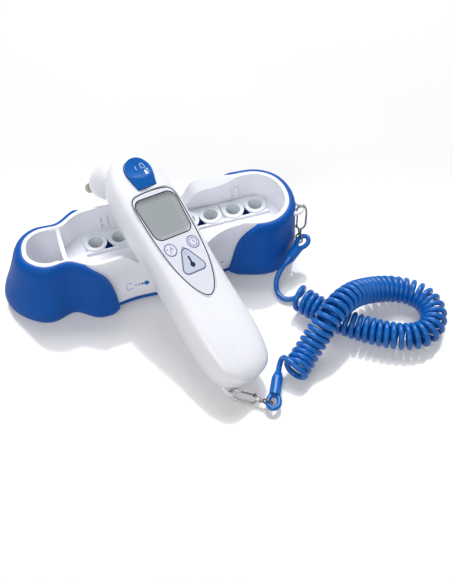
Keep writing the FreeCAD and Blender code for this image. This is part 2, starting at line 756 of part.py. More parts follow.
def hook_lines(eye, ring_at, side_hint):
    """The hook's direction from the eyelet to the ring, its side direction and its foot."""
    along = (ring_at - eye).normalize()
    side = (side_hint - along * side_hint.dot(along)).normalize()
    foot = ring_at - along * NECK
    return along, side, foot


def make_hook_frame(eye, along, side, foot):
    """Plain side, round end over the eyelet, and a short stub that the gate closes against."""
    points = [foot - side * 0.3, foot - along * 2.8 - side * 3.4, eye + along * 0.5 - side * 3.4,
              eye - along * 4.0, eye + along * 0.5 + side * 3.4, eye + along * 3.4 + side * 2.5]
    frame = tube(points, WIRE_R)
    collar = rod(1.5, foot - along * 0.7, foot + along * 1.1)
    shoulder = rod(WIRE_R, foot, foot - along * 2.0 + side * 2.2)
    frame = frame.fuse(collar).fuse(shoulder)
    return frame.cut(make_gate(eye, along, side, foot, GATE_R + 0.12, 0.12))


def gate_pin(along, side, foot):
    return foot - along * 2.4 + side * 2.4


def make_gate(eye, along, side, foot, radius=GATE_R, longer=0.0):
    """A straight wire on a short barrel that turns at the hook's foot."""
    pin = gate_pin(along, side, foot)
    across = along.cross(side) * (1.0 + longer)
    barrel = rod(radius + 0.35, pin - across, pin + across)
    return rod(radius, pin + along * longer, eye + along * 4.6 + side * 2.5 - along * longer).fuse(barrel)


def make_swivel(ring_at, along, leg, foot):
    """A pin in line with the hook's collar, with a small ring that holds the cord's loop."""
    barrel = rod(1.25, foot + along * 1.3, ring_at - along * (RING_R - 0.2))
    ring = Part.makeTorus(RING_R, RING_WIRE_R, ring_at, leg - along * leg.dot(along))
    return barrel.fuse(ring)


HANDSET_HANG = PLACE.multVec(HAND_EYELET + V(0.7, -5.4, -0.85))
HANDSET_RING, HANDSET_LEG = loop_leg(HANDSET_SLEEVE, 1)
BASE_RING, BASE_LEG = loop_leg(BASE_SLEEVE, -1)
HOOKS = (
    ("handset", HANDSET_HANG, HANDSET_RING, HANDSET_LEG, V(0.25, 0.5, 0.8)),
    ("base", HANG, BASE_RING, BASE_LEG, EYELET_OUT * -1),
)


# ---------------------------------------------------------------- building and saving

def placed(shape):
    copy = shape.copy()
    copy.Placement = PLACE.multiply(copy.Placement)
    return copy


def in_hand(name, *solids):
    return save(name, *[placed(s) for s in solids])


def build_base():
    save("base_tray", make_tray())
    save("cassette_latches", *make_latches())
    save("left_end_cap", make_end_cap(-1))
    save("right_end_cap", make_end_cap(1))
    save("base_bottom_cover", make_bottom_cover())
    save("base_inner_shelf", make_inner_shelf())
    save("base_feet", *make_base_feet())
    save("base_screws", *make_base_screws())
    save("base_eyelet", make_base_eyelet())
    for i in range(CUP_COUNT // 2):
        save("cassette_%d" % (i + 1), make_cassette(i))
    for i in range(CUP_COUNT):
        save("probe_cover_%d" % (i + 1), make_probe_cover(i))


def build_handset():
    in_hand("handset_front_shell", make_front_shell())
    in_hand("handset_rear_shell", make_rear_shell())
    in_hand("battery_door", make_battery_door())
    in_hand("handset_screws", *make_handset_screws())
    in_hand("keypad_overlay", make_overlay())
    in_hand("lcd_window", prism(lcd_outline(0.15), -1.9, -1.1))
    in_hand("lcd_module", slab(-14.4, 14.4, 98.4, 129.4, -5.0, -2.6))
    in_hand("keypad_rubber", slab(-13.5, 13.5, 72.2, 97, -4.4, -3.4))
    in_hand("scan_button", key_solid("scan", 0, -2.8, 0.2))
    in_hand("unit_button", key_solid("unit", 0, -2.8, 0.2))
    in_hand("timer_button", key_solid("timer", 0, -2.8, 0.2))
    in_hand("circuit_board", make_circuit_board())
    in_hand("board_parts", *make_board_parts())
    in_hand("buzzer", rod(5.5, V(0, 122, -13.0), V(0, 122, -9.6)))
    in_hand("battery_cells", *make_cells())
    in_hand("battery_contacts", *make_contacts())
    in_hand("eject_button", make_eject_button())
    in_hand("eject_spring", make_eject_spring())
    in_hand("eject_guide", make_eject_guide())
    in_hand("probe_nozzle", make_nozzle())
    in_hand("ejector_sleeve", make_ejector_sleeve())
    in_hand("probe_tip", make_probe_tip())
    in_hand("sensor_module", make_sensor())
    in_hand("sensor_window", make_sensor_window())
    in_hand("sensor_holder", make_sensor_holder())
    in_hand("handset_eyelet", make_handset_eyelet())


def build_tether():
    save("coil_cord", tube(COIL_ROUTE, COIL_R, "coil_cord"))
    save("handset_lead", tube(HANDSET_LEAD, CORD_R, "handset_lead"))
    save("base_lead", tube(BASE_LEAD, CORD_R, "base_lead"))
    save("handset_cord_loop", cord_loop(HANDSET_SLEEVE))
    save("handset_cord_sleeve", make_sleeve(HANDSET_SLEEVE))
    save("base_cord_loop", cord_loop(BASE_SLEEVE))
    save("base_cord_sleeve", make_sleeve(BASE_SLEEVE))
    for name, eye, ring_at, leg, side_hint in HOOKS:
        along, side, foot = hook_lines(eye, ring_at, side_hint)
        save(name + "_hook_frame", make_hook_frame(eye, along, side, foot))
        save(name + "_hook_gate", make_gate(eye, along, side, foot))
        save(name + "_swivel", make_swivel(ring_at, along, leg, foot))
        print(name, "eye", eye, "ring", ring_at, "along", along, "side", side, "foot", foot,
              "gate pin", gate_pin(along, side, foot), "gate axis", along.cross(side))


build_base()
build_handset()
build_tether()
print("handset axes", TURN.multVec(V(1, 0, 0)), TURN.multVec(V(0, 1, 0)), TURN.multVec(V(0, 0, 1)))
print("handset origin", PLACE.Base, "probe axis", TURN.multVec(PROBE_AXIS), "probe root", PLACE.multVec(PROBE_ROOT))
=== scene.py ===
"""Looks of the ear thermometer set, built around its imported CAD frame.

Helpers that build points work in millimetres; mesh_object turns them into metres.
"""

import bpy
import math
from mathutils import Matrix, Vector
from mathutils.bvhtree import BVHTree


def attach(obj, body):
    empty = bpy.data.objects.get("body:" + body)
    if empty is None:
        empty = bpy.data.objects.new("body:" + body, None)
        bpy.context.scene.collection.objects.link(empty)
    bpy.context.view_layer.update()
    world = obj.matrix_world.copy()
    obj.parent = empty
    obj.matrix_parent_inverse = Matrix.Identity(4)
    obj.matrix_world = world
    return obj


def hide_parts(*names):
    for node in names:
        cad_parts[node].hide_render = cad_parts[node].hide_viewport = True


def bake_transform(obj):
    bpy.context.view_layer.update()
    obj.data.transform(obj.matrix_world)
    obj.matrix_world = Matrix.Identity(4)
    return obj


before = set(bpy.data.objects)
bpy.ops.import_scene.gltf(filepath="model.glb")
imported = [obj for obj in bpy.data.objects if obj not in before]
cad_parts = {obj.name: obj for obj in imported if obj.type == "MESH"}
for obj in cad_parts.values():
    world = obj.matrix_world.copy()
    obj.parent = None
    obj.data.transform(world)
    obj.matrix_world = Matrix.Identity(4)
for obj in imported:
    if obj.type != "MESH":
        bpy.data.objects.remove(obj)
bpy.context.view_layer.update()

MM = 0.001

# ---------------------------------------------------------------- camera

LOOK_AT = Vector((33.4, -21.3, 25.0)) * MM
SENSOR = 36.0
FOCAL_TO_WIDTH = 1003.0 / 452.0
DISTANCE = 641.1 * MM
AZIMUTH = math.radians(-18.23)
ELEVATION = math.radians(51.54)
BACK = Vector((math.sin(AZIMUTH) * math.cos(ELEVATION), -math.cos(AZIMUTH) * math.cos(ELEVATION),
               math.sin(ELEVATION)))


def make_camera():
    data = bpy.data.cameras.new("camera")
    data.sensor_fit = "HORIZONTAL"
    data.sensor_width = SENSOR
    data.lens = SENSOR * FOCAL_TO_WIDTH
    data.clip_start = 0.01
    camera = bpy.data.objects.new("camera", data)
    bpy.context.collection.objects.link(camera)
    camera.location = LOOK_AT + BACK * DISTANCE
    camera.rotation_mode = "QUATERNION"
    camera.rotation_quaternion = (-BACK).to_track_quat("-Z", "Y")
    bpy.context.scene.camera = camera


make_camera()

# ---------------------------------------------------------------- small tools


def link(name, mesh, smooth=True):
    obj = bpy.data.objects.new(name, mesh)
    bpy.context.collection.objects.link(obj)
    if smooth:
        for face in mesh.polygons:
            face.use_smooth = True
    return obj


def mesh_object(name, points, faces, smooth=True):
    mesh = bpy.data.meshes.new(name)
    mesh.from_pydata([tuple(Vector(p) * MM) for p in points], [], faces)
    mesh.update()
    return link(name, mesh, smooth)


def finish_piece(obj, body, material):
    """Gives a new piece its material, in a slot on its own mesh, and its body."""
    obj.data.materials.clear()
    obj.data.materials.append(material)
    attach(obj, body)
    return obj


def frames_along(points):
    """Tangents and a side direction carried along a polyline without twist."""
    count = len(points)
    tangents = []
    for i in range(count):
        ahead = points[min(i + 1, count - 1)] - points[max(i - 1, 0)]
        tangents.append(ahead.normalized())
    side = tangents[0].orthogonal().normalized()
    sides = []
    for tangent in tangents:
        side = (side - tangent * side.dot(tangent)).normalized()
        sides.append(side)
    return tangents, sides


def tube_mesh(points, radius, ring=12):
    """Points and faces of a round tube along a polyline, closed at both ends."""
    tangents, sides = frames_along(points)
    vertices = []
    faces = []
    for point, tangent, side in zip(points, tangents, sides):
        other = tangent.cross(side)
        for j in range(ring):
            angle = 2 * math.pi * j / ring
            vertices.append(point + (side * math.cos(angle) + other * math.sin(angle)) * radius)
    rows = len(points)
    for i in range(rows - 1):
        for j in range(ring):
            a = i * ring + j
            b = i * ring + (j + 1) % ring
            c = (i + 1) * ring
            faces.append((a, b, c + (j + 1) % ring, c + j))
    faces.append(tuple(range(ring))[::-1])
    faces.append(tuple((rows - 1) * ring + j for j in range(ring)))
    return vertices, faces


# ---------------------------------------------------------------- cord

CORD_R = 1.8
COIL_R = 9.0
HELIX_R = COIL_R - CORD_R - 0.1
COIL_PITCH = 4.2
RING_PITCH = 9.5         # the first turn at the base's end stands open
RING_RUN = 9.0
BEND_SHARE = 0.3         # how much of a bend's squeeze the turns make up by standing wider
LEAD_STEP = 0.5
TUBE_STEP = 0.75
COIL_ROUTE = (
    (57.3, -83.3, 9.4), (65.5, -75.8, 9.6), (76.5, -68.4, 16.5), (88.6, -61.4, 28.4), (105.0, -51.3, 28.6),
    (123.4, -42.5, 17.2), (143.4, -40.9, 9.4), (158.4, -51.5, 9.3), (161.4, -67.1, 9.3), (151.8, -81.1, 9.3),
    (135.8, -81.3, 9.3), (116.0, -69.7, 9.3), (97.4, -52.7, 9.3), (86.4, -36.7, 9.3), (76.4, -20.6, 9.3),
)
HANDSET_LEAD = (
    (49.5, -77.1, 6.5), (51.8, -72.6, 6.8), (54.2, -71.6, 12.4), (54.8, -76.6, 15.8), (57.6, -82.6, 16.2),
)
BASE_LEAD = (
    (81.2, -2.1, 13.1), (77.0, -4.7, 11.5), (73.0, -8.0, 5.6), (71.4, -13.6, 2.4), (72.0, -19.4, 2.1),
    (75.6, -23.6, 2.2), (80.4, -25.0, 2.8),
)


def spline_points(route, resolution):
    """Points read from the NURBS spline whose control points are the route."""
    data = bpy.data.curves.new("route", "CURVE")
    data.dimensions = "3D"
    data.resolution_u = resolution
    spline = data.splines.new("NURBS")
    spline.points.add(len(route) - 1)
    for point, place in zip(spline.points, route):
        point.co = (*place, 1.0)
    spline.order_u = 3
    spline.use_endpoint_u = True
    holder = bpy.data.objects.new("route", data)
    mesh = bpy.data.meshes.new_from_object(holder)
    points = [v.co.copy() for v in mesh.vertices]
    bpy.data.objects.remove(holder)
    bpy.data.meshes.remove(mesh)
    bpy.data.curves.remove(data)
    return points


def resample(points, step):
    """Points of a polyline at an even spacing close to the step."""
    lengths = [0.0]
    for a, b in zip(points, points[1:]):
        lengths.append(lengths[-1] + (b - a).length)
    count = max(2, round(lengths[-1] / step))
    result = []
    at = 0
    for i in range(count + 1):
        want = lengths[-1] * i / count
        while at < len(points) - 2 and lengths[at + 1] < want:
            at += 1
        span = lengths[at + 1] - lengths[at]
        share = (want - lengths[at]) / span if span else 0.0
        result.append(points[at].lerp(points[at + 1], share))
    return result


def nearest(points, place):
    return min(range(len(points)), key=lambda i: (points[i] - place).length)


def averaged(values, reach):
    """Each value replaced by the mean of its neighbours."""
    result = []
    for i in range(len(values)):
        near = values[max(0, i - reach):i + reach + 1]
        result.append(sum(near) / len(near))
    return result


def turn_rates(tangents, step):
    """How fast the helix turns at each point of the centre line, in radians per millimetre."""
    bends = [(b - a).length / step for a, b in zip(tangents, tangents[1:])] + [0.0]
    rates = []
    for i, bend in enumerate(averaged(bends, 12)):
        open_share = max(0.0, 1.0 - i * step / RING_RUN)
        pitch = COIL_PITCH / max(0.5, 1.0 - BEND_SHARE * HELIX_R * bend)
        rates.append(2 * math.pi / (pitch + (RING_PITCH - COIL_PITCH) * open_share))
    return rates


def angle_round(away, side, other):
    return math.atan2(away.dot(other), away.dot(side))


def helix_points(centre, start, end):
    """A helix round the centre line, from beside one lead's end to beside the other's."""
    centre = centre[nearest(centre, start):nearest(centre, end) + 1]
    tangents, sides = frames_along(centre)
    others = [t.cross(s) for t, s in zip(tangents, sides)]
    step = (centre[1] - centre[0]).length
    rates = turn_rates(tangents, step)
    total = sum(rates) * step
    phase = angle_round(start - centre[0], sides[0], others[0])
    last = angle_round(end - centre[-1], sides[-1], others[-1])
    turns = math.floor((total - (last - phase)) / (2 * math.pi))
    rates = [r * (turns * 2 * math.pi + last - phase) / total for r in rates]
    fine = 4
    points = []
    angle = phase
    for i in range(len(centre) - 1):
        for k in range(fine):
            share = k / fine
            middle = centre[i].lerp(centre[i + 1], share)
            side = sides[i].lerp(sides[i + 1], share).normalized()
            other = others[i].lerp(others[i + 1], share).normalized()
            points.append(middle + (side * math.cos(angle) + other * math.sin(angle)) * HELIX_R)
            angle += rates[i] * step / fine
    return points


def smoothed(points, middle, reach, rounds):
    """Evens a polyline out round one of its points."""
    for _ in range(rounds):
        before = list(points)
        for i in range(max(1, middle - reach), min(len(points) - 1, middle + reach)):
            points[i] = before[i - 1] * 0.25 + before[i] * 0.5 + before[i + 1] * 0.25
    return points


def make_cord():
    """The tether from the base's sleeve to the handset's: a lead, the coil's turns and a lead."""
    centre = list(reversed(resample(spline_points(COIL_ROUTE, 24), 0.35)))
    first = resample(spline_points(BASE_LEAD, 24), LEAD_STEP)
    last = resample(spline_points(HANDSET_LEAD, 24), LEAD_STEP)
    helix = resample(helix_points(centre, first[-1], last[-1]), LEAD_STEP)
    path = first[:-3] + helix[4:-4] + list(reversed(last[:-3]))
    path = smoothed(path, len(first) - 3, 12, 40)
    path = smoothed(path, len(path) - len(last) + 3, 12, 40)
    path = resample(path, TUBE_STEP)
    vertices, faces = tube_mesh(path, CORD_R)
    return mesh_object("tether_cord", vertices, faces), path


cord, cord_path = make_cord()
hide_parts("coil_cord", "base_lead", "handset_lead")

# ---------------------------------------------------------------- materials


def shader(name):
    material = bpy.data.materials.new(name)
    material.use_nodes = True
    tree = material.node_tree
    return material, tree, tree.nodes["Principled BSDF"]


def noise(tree, scale, detail=3.0, stretch=None):
    texture = tree.nodes.new("ShaderNodeTexNoise")
    texture.inputs["Scale"].default_value = scale
    texture.inputs["Detail"].default_value = detail
    place = tree.nodes.new("ShaderNodeTexCoord")
    if stretch:
        mapping = tree.nodes.new("ShaderNodeMapping")
        mapping.inputs["Scale"].default_value = stretch
        tree.links.new(place.outputs["Object"], mapping.inputs["Vector"])
        tree.links.new(mapping.outputs["Vector"], texture.inputs["Vector"])
    else:
        tree.links.new(place.outputs["Object"], texture.inputs["Vector"])
    return texture.outputs["Fac"]


def ramp(tree, value, low, high):
    """Colours or greys between two ends, driven by a noise value."""
    node = tree.nodes.new("ShaderNodeValToRGB")
    node.color_ramp.elements[0].position = 0.3
    node.color_ramp.elements[1].position = 0.7
    node.color_ramp.elements[0].color = low if len(low) == 4 else (*low, 1.0)
    node.color_ramp.elements[1].color = high if len(high) == 4 else (*high, 1.0)
    tree.links.new(value, node.inputs["Fac"])
    return node.outputs["Color"]


def bump(tree, bsdf, value, strength, distance):
    node = tree.nodes.new("ShaderNodeBump")
    node.inputs["Strength"].default_value = strength
    node.inputs["Distance"].default_value = distance
    tree.links.new(value, node.inputs["Height"])
    tree.links.new(node.outputs["Normal"], bsdf.inputs["Normal"])


def moulded(name, colour, rough, coat=0.0, coat_rough=0.08, grain=1800.0, grain_depth=0.00001,
            spread=0.03, specular=0.5):
    """Moulded plastic: faint mottling, slightly uneven gloss and a fine moulded grain."""
    material, tree, bsdf = shader(name)
    darker = [c * (1 - spread) for c in colour]
    lighter = [min(1.0, c * (1 + spread * 0.5)) for c in colour]
    cloud = noise(tree, 25.0)
    tree.links.new(ramp(tree, cloud, darker, lighter), bsdf.inputs["Base Color"])
    low = (rough * 0.95,) * 3
    high = (min(1.0, rough * 1.06),) * 3
    tree.links.new(ramp(tree, noise(tree, 90.0), low, high), bsdf.inputs["Roughness"])
    bump(tree, bsdf, noise(tree, grain, 2.0), 0.12, grain_depth)
    bsdf.inputs["Coat Weight"].default_value = coat
    bsdf.inputs["Coat Roughness"].default_value = coat_rough
    bsdf.inputs["Specular IOR Level"].default_value = specular
    return material


def metal(name, colour, rough, stretch=(1, 1, 12), grain=400.0):
    """Drawn or turned metal, with fine lines along it."""
    material, tree, bsdf = shader(name)
    bsdf.inputs["Metallic"].default_value = 1.0
    lines = noise(tree, grain, 3.0, stretch)
    darker = [c * 0.8 for c in colour]
    tree.links.new(ramp(tree, lines, darker, colour), bsdf.inputs["Base Color"])
    tree.links.new(ramp(tree, lines, (rough * 0.7,) * 3, (rough * 1.3,) * 3), bsdf.inputs["Roughness"])
    bump(tree, bsdf, lines, 0.15, 0.00001)
    return material


def clear(name, colour, rough, weight, spread=0.05):
    """Thin see-through plastic, part frosted."""
    material = moulded(name, colour, rough, spread=spread, grain_depth=0.00001)
    bsdf = material.node_tree.nodes["Principled BSDF"]
    bsdf.inputs["Transmission Weight"].default_value = weight
    bsdf.inputs["IOR"].default_value = 1.3
    return material


WHITE = moulded("white_shell", (0.86, 0.87, 0.915), 0.26, coat=0.3, coat_rough=0.12, specular=0.4)
TRAY_WHITE = moulded("white_tray", (0.87, 0.88, 0.935), 0.32, coat=0.15, coat_rough=0.2, specular=0.4)
FILM = moulded("overlay_film", (0.73, 0.75, 0.83), 0.36, grain=2500.0, specular=0.3)
BLUE = moulded("blue_cap", (0.0008, 0.088, 0.40), 0.42, spread=0.10, specular=0.15)
BUTTON_BLUE = moulded("blue_button", (0.001, 0.105, 0.42), 0.22, coat=0.2, coat_rough=0.08, spread=0.06,
                      specular=0.2)
CORD_BLUE = moulded("blue_cord", (0.001, 0.125, 0.48), 0.22, coat=0.3, coat_rough=0.08, spread=0.08,
                    specular=0.3)
INK = moulded("dark_ink", (0.03, 0.03, 0.05), 0.5, spread=0.2, specular=0.2)
VIOLET_INK = moulded("violet_ink", (0.10, 0.11, 0.33), 0.45, spread=0.1, specular=0.2)
BLUE_INK = moulded("blue_ink", (0.01, 0.16, 0.55), 0.45, spread=0.1, specular=0.2)
WHITE_INK = moulded("white_ink", (0.75, 0.82, 0.95), 0.4)
KEY = moulded("key_film", (0.56, 0.61, 0.76), 0.38, spread=0.05, specular=0.3)
LCD = moulded("lcd_glass", (0.33, 0.36, 0.37), 0.20, coat=0.4, spread=0.05)
LCD_EDGE = moulded("lcd_edge", (0.44, 0.46, 0.48), 0.30, coat=0.3)
COVER = clear("cover_film", (0.90, 0.95, 1.0), 0.25, 0.2)
CASSETTE = clear("cassette_plastic", (0.88, 0.92, 0.99), 0.35, 0.08)
STEEL = metal("steel_wire", (0.60, 0.59, 0.57), 0.20)
DARK_STEEL = metal("dark_steel", (0.24, 0.23, 0.22), 0.28)
PROBE = metal("probe_steel", (0.50, 0.47, 0.43), 0.30)
SCREW = metal("screw_steel", (0.55, 0.55, 0.56), 0.3)
FOOT = moulded("foot_rubber", (0.03, 0.03, 0.035), 0.75, grain_depth=0.00006)
BOARD = moulded("board_green", (0.01, 0.16, 0.06), 0.35)
CHIP = moulded("chip_black", (0.02, 0.02, 0.022), 0.5)
CELL = moulded("cell_wrap", (0.06, 0.06, 0.07), 0.3, coat=0.3)
RUBBER = moulded("key_rubber", (0.38, 0.38, 0.40), 0.6)

NODE_MATERIAL = {
    "base_tray": TRAY_WHITE, "cassette_latches": TRAY_WHITE, "base_eyelet": WHITE,
    "handset_eyelet": WHITE,
    "left_end_cap": BLUE, "right_end_cap": BLUE, "base_bottom_cover": BLUE,
    "base_inner_shelf": BLUE, "base_feet": FOOT,
    "base_screws": SCREW, "handset_screws": SCREW, "handset_front_shell": WHITE,
    "handset_rear_shell": WHITE,
    "battery_door": WHITE, "keypad_overlay": FILM, "lcd_window": LCD, "lcd_module": LCD,
    "keypad_rubber": RUBBER,
    "scan_button": KEY, "unit_button": FILM, "timer_button": FILM, "circuit_board": BOARD,
    "board_parts": CHIP,
    "buzzer": CHIP, "battery_cells": CELL, "battery_contacts": SCREW, "eject_button": BUTTON_BLUE,
    "eject_spring": SCREW, "eject_guide": WHITE, "probe_nozzle": WHITE, "ejector_sleeve": WHITE,
    "probe_tip": PROBE, "sensor_module": PROBE, "sensor_window": LCD, "sensor_holder": CHIP,
    "handset_cord_loop": CORD_BLUE, "handset_cord_sleeve": CORD_BLUE, "base_cord_loop": CORD_BLUE,
    "base_cord_sleeve": CORD_BLUE, "handset_hook_frame": STEEL, "base_hook_frame": STEEL,
    "handset_hook_gate": DARK_STEEL, "base_hook_gate": DARK_STEEL, "handset_swivel": DARK_STEEL,
    "base_swivel": DARK_STEEL,
}
for i in range(4):
    NODE_MATERIAL["cassette_%d" % (i + 1)] = CASSETTE
for i in range(8):
    NODE_MATERIAL["probe_cover_%d" % (i + 1)] = COVER


def dress_nodes():
    """Gives every CAD node its material, on the object's slots, so the meshes stay as they are."""
    for name, material in NODE_MATERIAL.items():
        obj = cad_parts[name]
        for place in obj.material_slots:
            place.link = "OBJECT"
            place.material = material


dress_nodes()
cord.data.materials.append(CORD_BLUE)
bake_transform(cord)

# ---------------------------------------------------------------- printed marks and the display

HANDSET = (Matrix.Translation(Vector((31.832, -86.574, 24.902)))
           @ Matrix.Rotation(math.radians(16.6), 4, "Z") @ Matrix.Rotation(math.radians(23.4), 4, "X")
           @ Matrix.Rotation(math.radians(13.49), 4, "Y") @ Matrix.Rotation(math.radians(-1.5), 4, "Z"))
FACE_Z = 0.05            # top of the keypad overlay
KEY_Z = 0.2              # top of the keys
INK_LIFT = 0.05
INK_ROOT = 0.08


def loop_through(corners, steps=10):
    """A closed smooth outline through a few points."""
    count = len(corners)
    points = []
    for i in range(count):
        a, b, c, d = [Vector(corners[(i + k) % count]) for k in (-1, 0, 1, 2)]
        for k in range(steps):
            t = k / steps
            points.append(0.5 * (2 * b + (c - a) * t + (2 * a - 5 * b + 4 * c - d) * t * t
                                 + (3 * b - a - 3 * c + d) * t ** 3))
    return points


def circle(x, y, radius, steps=28, start=0.0, sweep=360.0):
    """Points of a circle or an arc. Angles are degrees from the x axis."""
    full = sweep >= 360.0
    count = steps if full else steps + 1
    angles = [math.radians(start + sweep * i / steps) for i in range(count)]
    return [Vector((x + radius * math.cos(a), y + radius * math.sin(a))) for a in angles]


def rounded(corners, radius, steps=8):
    """A closed outline with straight sides and round corners."""
    points = []
    count = len(corners)
    for i in range(count):
        corner = Vector(corners[i])
        back = (Vector(corners[i - 1]) - corner).normalized()
        ahead = (Vector(corners[(i + 1) % count]) - corner).normalized()
        half = back.angle(ahead) / 2
        centre = corner + (back + ahead).normalized() * (radius / math.sin(half))
        first = corner + back * (radius / math.tan(half)) - centre
        last = corner + ahead * (radius / math.tan(half)) - centre
        for k in range(steps + 1):
            points.append(centre + first.lerp(last, k / steps).normalized() * radius)
    return points


def flat_place(point):
    """Where a mark on the overlay's plane lies, and its outward direction."""
    return HANDSET @ Vector((point.x, point.y, FACE_Z)), HANDSET.to_3x3() @ Vector((0, 0, 1))


def key_place(point):
    """Where a mark on a key lies, and its outward direction."""
    return HANDSET @ Vector((point.x, point.y, KEY_Z)), HANDSET.to_3x3() @ Vector((0, 0, 1))


def draped_place(node, matrix, start_z):
    """A function that lays marks on a CAD node's surface, seen straight down the matrix's z axis."""
    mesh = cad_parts[node].data
    tree = BVHTree.FromPolygons([v.co / MM for v in mesh.vertices], [p.vertices for p in mesh.polygons])
    down = matrix.to_3x3() @ Vector((0, 0, -1))

    def place(point):
        hit, normal, index, distance = tree.ray_cast(matrix @ Vector((point.x, point.y, start_z)), down)
        return hit, normal
    return place


def ribbon(points, width, place, closed=False):
    """Points and faces of a thin strip of ink along a flat line."""
    count = len(points)
    vertices = []
    faces = []
    for i, point in enumerate(points):
        before = points[i - 1] if closed or i else point
        after = points[(i + 1) % count] if closed or i < count - 1 else point
        along = (after - before).normalized()
        across = Vector((-along.y, along.x)) * width / 2
        for side, lift in ((1, INK_LIFT), (-1, INK_LIFT), (-1, -INK_ROOT), (1, -INK_ROOT)):
            spot, normal = place(point + across * side)
            vertices.append(spot + normal * lift)
    for i in range(count if closed else count - 1):
        a = 4 * i
        b = 4 * ((i + 1) % count)
        for k in range(4):
            faces.append((a + k, a + (k + 1) % 4, b + (k + 1) % 4, b + k))
    if not closed:
        faces.append((3, 2, 1, 0))
        faces.append(tuple(4 * (count - 1) + k for k in range(4)))
    return vertices, faces


def patch(points, place):
    """Points and faces of a filled spot of ink inside a flat outline."""
    count = len(points)
    middle = sum(points, Vector((0, 0))) / count
    vertices = []
    faces = []
    for point in points:
        spot, normal = place(point)
        vertices.append(spot + normal * INK_LIFT)
        vertices.append(spot - normal * INK_ROOT)
    spot, normal = place(middle)
    vertices.append(spot + normal * INK_LIFT)
    vertices.append(spot - normal * INK_ROOT)
    top = 2 * count
    for i in range(count):
        a = 2 * i
        b = 2 * ((i + 1) % count)
        faces.append((a, b, top))
        faces.append((b + 1, a + 1, top + 1))
        faces.append((a + 1, b + 1, b, a))
    return vertices, faces


def join(parts):
    vertices = []
    faces = []
    for more, more_faces in parts:
        first = len(vertices)
        vertices.extend(more)
        faces.extend([tuple(first + v for v in face) for face in more_faces])
    return vertices, faces


def mark(name, parts, body, material):
    vertices, faces = join(parts)
    return finish_piece(mesh_object(name, vertices, faces, smooth=False), body, material)


def mirror_outline(points):
    """A closed outline from its right half, whose first and last points lie on the middle line."""
    return list(points) + [(-x, y) for x, y in reversed(points[1:-1])]


OVERLAY_EDGE = (
    (0, 132.3), (9.3, 131.7), (14.5, 129.8), (16.5, 124.8), (16.4, 113.0), (15.7, 98.1), (13.7, 81.2),
    (9.8, 67.9), (5.0, 59.3), (0, 56.2),
)
DISPLAY = ((-13.6, 99.4), (13.6, 99.4), (15.6, 128.2), (-15.6, 128.2))
DISPLAY_CORNER = 5.2
KEY_X = 8.8
KEY_Y = 91.5
LINE = 0.75


def stroke(points, width, place):
    """An open ink line through a few points."""
    return ribbon([Vector(p) for p in points], width, place)


def make_overlay_lines():
    edge = loop_through(mirror_outline(OVERLAY_EDGE))
    mark("overlay_border", [ribbon(edge, LINE, flat_place, closed=True)], "handset", INK)
    rim = rounded(((-14.0, 99.0), (14.0, 99.0), (16.0, 128.6), (-16.0, 128.6)), DISPLAY_CORNER + 0.4)
    mark("display_border", [ribbon(rim, 0.75, flat_place, closed=True)], "handset", INK)


def shrink(inset):
    (x0, y0), (x1, y1) = DISPLAY[0], DISPLAY[2]
    return rounded(((x0 + inset, y0 + inset), (-x0 - inset, y0 + inset), (x1 - inset, y1 - inset),
                    (-x1 + inset, y1 - inset)), DISPLAY_CORNER - inset)


def display_ring(inset, z):
    return [HANDSET @ Vector((p.x, p.y, z)) for p in shrink(inset)]


def make_display():
    """A dished window: bands of light and grey glass that step down to the screen."""
    levels = ((0.06, -0.35), (0.5, -0.5), (0.9, -1.05), (2.0, -1.2), (2.3, -1.45))
    rings = [display_ring(inset, z) for inset, z in levels]
    count = len(rings[0])
    vertices = [p for ring in rings for p in ring]
    faces = []
    for level in range(len(rings) - 1):
        for i in range(count):
            a = level * count + i
            b = level * count + (i + 1) % count
            faces.append((a, b, b + count, a + count))
    floor_face = tuple((len(rings) - 1) * count + i for i in range(count))
    faces.append(floor_face)
    under = display_ring(0.06, -1.9)
    first = len(vertices)
    vertices.extend(under)
    for i in range(count):
        faces.append((i, first + i, first + (i + 1) % count, (i + 1) % count))
    faces.append(tuple(first + i for i in range(count))[::-1])
    screen = mesh_object("display_screen", vertices, faces, smooth=False)
    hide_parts("lcd_window")
    finish_piece(screen, "handset", LCD)
    screen.data.materials.append(LCD_EDGE)
    for face in screen.data.polygons:
        if face.index < count * (len(rings) - 1):
            face.material_index = 1 if (face.index // count) % 2 else 0


def make_key_marks():
    """A slash between two degree rings on one key, and a clock on the other."""
    slash = [(-KEY_X - 1.2, KEY_Y - 2.6), (-KEY_X + 1.2, KEY_Y + 2.6)]
    unit = [ribbon(circle(-KEY_X, KEY_Y, 4.0), 0.45, key_place, closed=True),
            stroke(slash, 0.3, key_place),
            ribbon(circle(-KEY_X - 2.3, KEY_Y + 0.9, 0.5, 10), 0.25, key_place, closed=True),
            ribbon(circle(-KEY_X + 1.3, KEY_Y + 0.3, 0.5, 10), 0.25, key_place, closed=True)]
    mark("unit_key_mark", unit, "unit_button_body", VIOLET_INK)
    timer = [ribbon(circle(KEY_X, KEY_Y, 4.0), 0.45, key_place, closed=True),
             ribbon(circle(KEY_X, KEY_Y, 2.7), 0.4, key_place, closed=True),
             stroke([(KEY_X, KEY_Y), (KEY_X, KEY_Y + 1.7)], 0.4, key_place),
             stroke([(KEY_X, KEY_Y), (KEY_X + 1.1, KEY_Y - 0.5)], 0.4, key_place)]
    mark("timer_key_mark", timer, "timer_button_body", VIOLET_INK)


